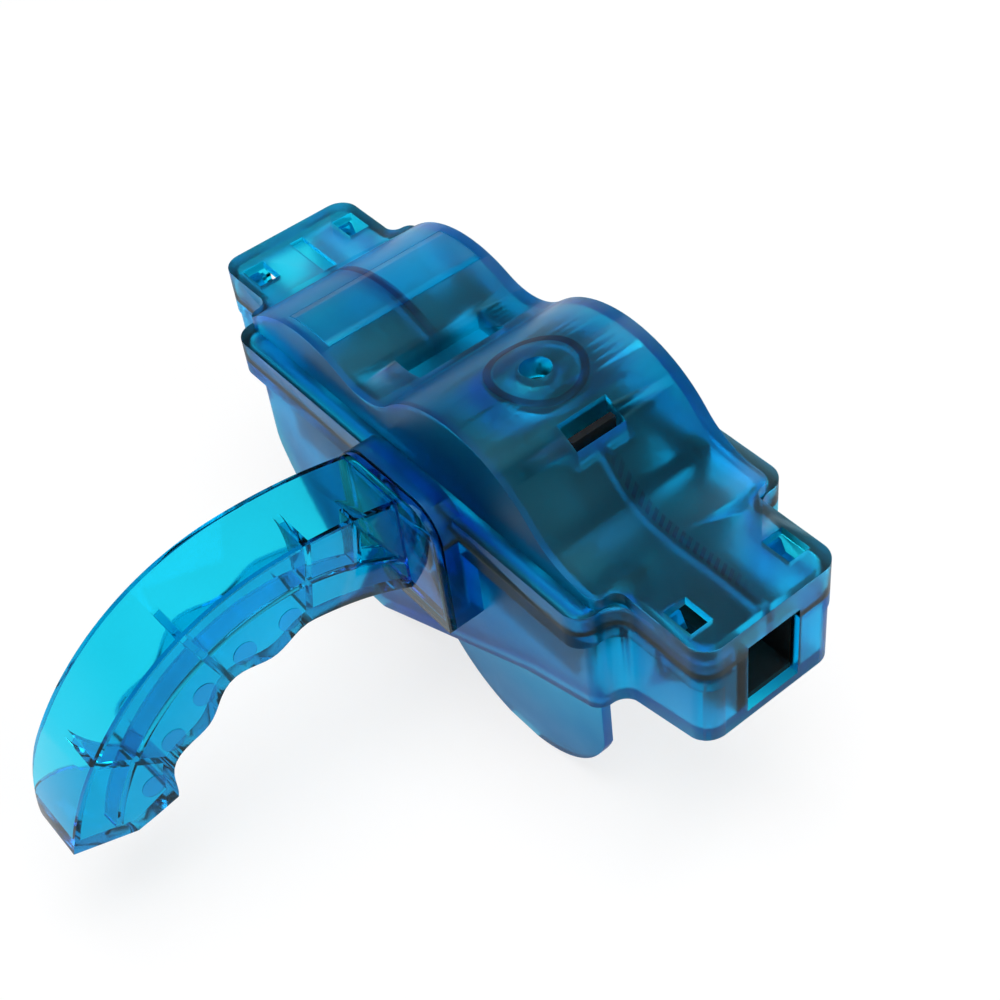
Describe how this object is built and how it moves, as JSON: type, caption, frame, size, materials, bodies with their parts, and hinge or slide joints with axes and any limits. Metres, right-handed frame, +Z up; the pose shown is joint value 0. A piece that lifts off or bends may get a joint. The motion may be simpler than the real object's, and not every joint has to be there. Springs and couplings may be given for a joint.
{
  "type": "bicycle chain cleaner",
  "caption": "Clear two-part box that closes round a bicycle chain, with rotary brushes inside, a sloping tank below and a curved handle on one side.",
  "frame": {"origin": "on the chain's centreline, at the middle of the box's length", "axes": "+X along the chain, -Y towards the handle, +Z up, square to the seam of the cover and the tank"},
  "size_m": [0.136, 0.1244, 0.072],
  "materials": {
    "cover_plastic": "clear tinted, slightly frosted",
    "tank_plastic": "clear tinted, slightly frosted",
    "handle_plastic": "clear tinted",
    "frame_plastic": "moulded",
    "throat_plastic": "clear tinted",
    "hub_plastic": "moulded",
    "bristle_nylon": "nylon tufts"
  },
  "bodies": {
    "tank_body": {"tank": "tank_plastic", "lower_left_cheek": "frame_plastic", "lower_right_cheek": "frame_plastic", "near_throat": "frame_plastic", "far_throat": "throat_plastic", "deck": "frame_plastic", "left_side_block": "frame_plastic", "left_side_bristles": "bristle_nylon", "right_side_block": "frame_plastic", "right_side_bristles": "bristle_nylon"},
    "cover_body": {"cover": "cover_plastic", "upper_left_cheek": "frame_plastic", "upper_right_cheek": "frame_plastic", "upper_latch_bar": "frame_plastic", "upper_pocket_bar": "frame_plastic"},
    "handle_body": {"handle": "handle_plastic"},
    "upper_brush": {"upper_hub": "hub_plastic", "upper_left_bristles": "bristle_nylon", "upper_right_bristles": "bristle_nylon", "upper_centre_bristles": "bristle_nylon"},
    "small_brush": {"small_hub": "hub_plastic", "small_bristles": "bristle_nylon"},
    "lower_brush": {"lower_hub": "hub_plastic", "lower_left_bristles": "bristle_nylon", "lower_right_bristles": "bristle_nylon", "lower_centre_bristles": "bristle_nylon"},
    "exit_brush": {"exit_hub": "hub_plastic", "exit_bristles": "bristle_nylon"}
  },
  "joints": [
    {"name": "cover_lift", "type": "slide", "parent": "tank_body", "child": "cover_body", "axis": [0, 0, 1], "range_m": [0, 0.06]},
    {"name": "handle_pull", "type": "slide", "parent": "tank_body", "child": "handle_body", "axis": [0, -1, 0], "range_m": [0, 0.02]},
    {"name": "upper_spin", "type": "hinge", "parent": "cover_body", "child": "upper_brush", "pos_m": [0.015, 0, 0.008], "axis": [0, 1, 0], "continuous": true},
    {"name": "small_spin", "type": "hinge", "parent": "cover_body", "child": "small_brush", "pos_m": [-0.0295, 0, 0.0094], "axis": [0, 1, 0], "continuous": true},
    {"name": "lower_spin", "type": "hinge", "parent": "tank_body", "child": "lower_brush", "pos_m": [-0.024, 0, -0.0156], "axis": [0, 1, 0], "continuous": true},
    {"name": "exit_spin", "type": "hinge", "parent": "tank_body", "child": "exit_brush", "pos_m": [0.0318, 0, -0.009], "axis": [0, 1, 0], "continuous": true}
  ]
}
